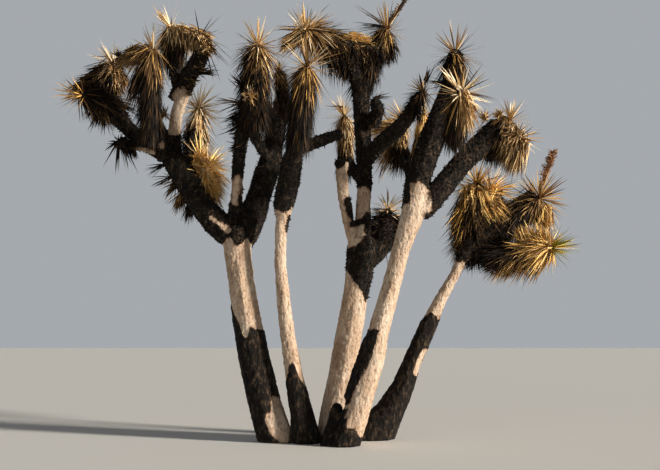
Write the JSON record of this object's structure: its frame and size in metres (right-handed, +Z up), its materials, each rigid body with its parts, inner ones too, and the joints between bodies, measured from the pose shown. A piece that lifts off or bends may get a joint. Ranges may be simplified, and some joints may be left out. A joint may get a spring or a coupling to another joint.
{
  "type": "joshua tree",
  "caption": "Fire-scarred joshua tree: a clump of pale, charred stems from one root, with black boughs and spiky leaf heads.",
  "frame": {"origin": "centre of the flat cut under the main stem, at ground level", "axes": "+X to the right and +Y away as the tree is seen from the front, +Z up"},
  "size_m": [5.2489, 3.0103, 4.839],
  "materials": {
    "bare_wood": "peeled, sun-bleached and finely pitted",
    "charred_bark": "charred, matt, rough with burnt leaf bases",
    "flower_stalk": "dry, scorched and matt",
    "straw_leaves": "dry straw-coloured leaves, matt",
    "brown_leaves": "dead brown leaves, matt",
    "burnt_leaves": "burnt black-brown leaves, matt",
    "golden_leaves": "scorched golden leaves, matt",
    "green_leaves": "partly green leaves, faint sheen"
  },
  "bodies": {
    "root": {"stem_main": "bare_wood", "stem_front": "bare_wood", "stem_near_left": "bare_wood", "stem_far_left": "bare_wood", "stem_right": "bare_wood", "bough_left": "charred_bark", "bough_left_outer": "charred_bark", "bough_left_bare": "bare_wood", "limb_left_rising": "charred_bark", "limb_left_inner": "charred_bark", "limb_left_rear": "charred_bark", "bough_left_middle": "charred_bark", "bough_left_broad": "charred_bark", "limb_front_thin": "charred_bark", "limb_upper_thin": "charred_bark", "bough_second": "charred_bark", "stub_second": "charred_bark", "bough_main": "charred_bark", "bough_main_bare": "bare_wood", "bough_main_right": "charred_bark", "arm_main": "charred_bark", "bough_main_top": "charred_bark", "limb_main_low": "charred_bark", "limb_main_rear": "charred_bark", "bough_front": "charred_bark", "bough_front_right": "bare_wood", "bough_front_rear": "charred_bark", "head_left_tip": "brown_leaves", "head_left_upper": "brown_leaves", "head_left_hanging": "brown_leaves", "head_left_peak": "burnt_leaves", "head_left_high": "straw_leaves", "head_left_pale": "straw_leaves", "head_left_burnt": "burnt_leaves", "head_left_golden": "golden_leaves", "head_left_rear": "brown_leaves", "head_middle_tall": "straw_leaves", "head_middle_small": "golden_leaves", "head_middle_arm": "straw_leaves", "head_middle_front": "straw_leaves", "head_middle_low": "straw_leaves", "head_middle_rear": "burnt_leaves", "skirt_arm": "burnt_leaves", "head_top": "burnt_leaves", "head_top_stub": "brown_leaves", "head_top_rear": "burnt_leaves", "head_centre_rear": "burnt_leaves", "head_centre_golden": "golden_leaves", "head_centre_low": "burnt_leaves", "head_right_top": "straw_leaves", "head_right_burnt": "burnt_leaves", "head_right_front": "straw_leaves", "head_right_pair": "straw_leaves", "sheath_right": "burnt_leaves", "head_right_golden": "golden_leaves", "head_right_stalk": "golden_leaves", "head_right_green": "green_leaves", "head_right_rear": "brown_leaves", "stalk_top": "flower_stalk", "stalk_right": "flower_stalk"}
  },
  "joints": []
}
